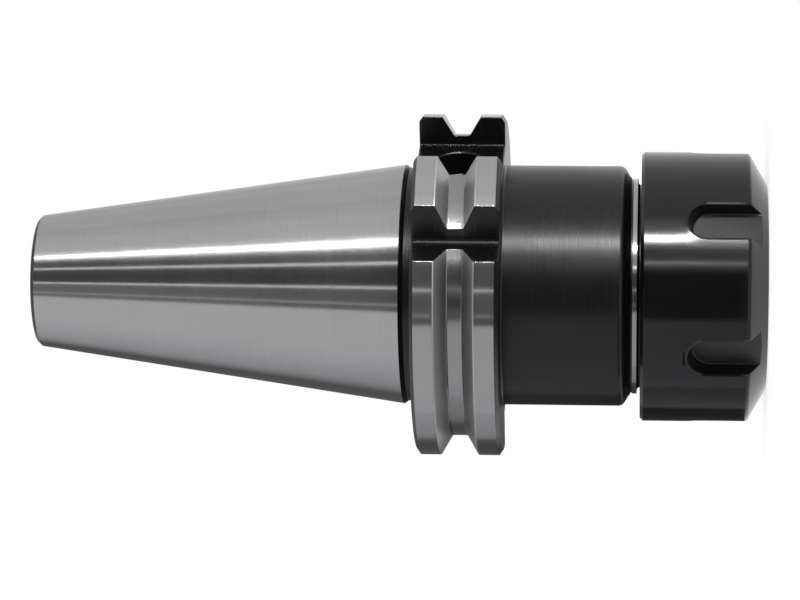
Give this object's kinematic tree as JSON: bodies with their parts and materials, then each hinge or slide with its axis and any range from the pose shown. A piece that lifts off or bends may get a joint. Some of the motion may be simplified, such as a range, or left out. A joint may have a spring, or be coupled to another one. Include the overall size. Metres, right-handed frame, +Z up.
{
  "type": "collet chuck holder",
  "caption": "Steep-taper collet chuck holder with a V-grooved gripper flange and a slotted clamping nut, which closes a spring collet on a round tool shank.",
  "frame": {"origin": "centre of the clamping nut's front face, which the holder stands on", "axes": "+Z up along the spindle axis, from the nut to the small end of the shank; +X through the deep drive slot; +Y completes the right-handed set"},
  "size_m": [0.0614, 0.0636, 0.1359],
  "materials": {
    "ground_steel": "ground bright on the shank, the flange and the land, black oxide elsewhere",
    "black_oxide_steel": "satin black oxide",
    "spring_steel": "fine ground"
  },
  "bodies": {
    "holder": {"holder_body": "ground_steel"},
    "collet": {"spring_collet": "spring_steel"},
    "nut": {"clamping_nut": "black_oxide_steel"},
    "stop": {"stop_screw": "black_oxide_steel"}
  },
  "joints": [
    {"name": "collet_travel", "type": "slide", "parent": "holder", "child": "collet", "axis": [0, 0, -1], "range_m": [0, 0.0135]},
    {"name": "nut_turn", "type": "hinge", "parent": "collet", "child": "nut", "pos_m": [0, 0, 0.01155], "axis": [0, 0, -1], "range_deg": [0, 3240]},
    {"name": "stop_travel", "type": "slide", "parent": "holder", "child": "stop", "axis": [0, 0, 1], "range_m": [-0.0105, 0.0055]}
  ],
  "couplings": [
    {"joint": "collet_travel", "follows": "nut_turn", "m_per_rad": 0.00023873}
  ]
}
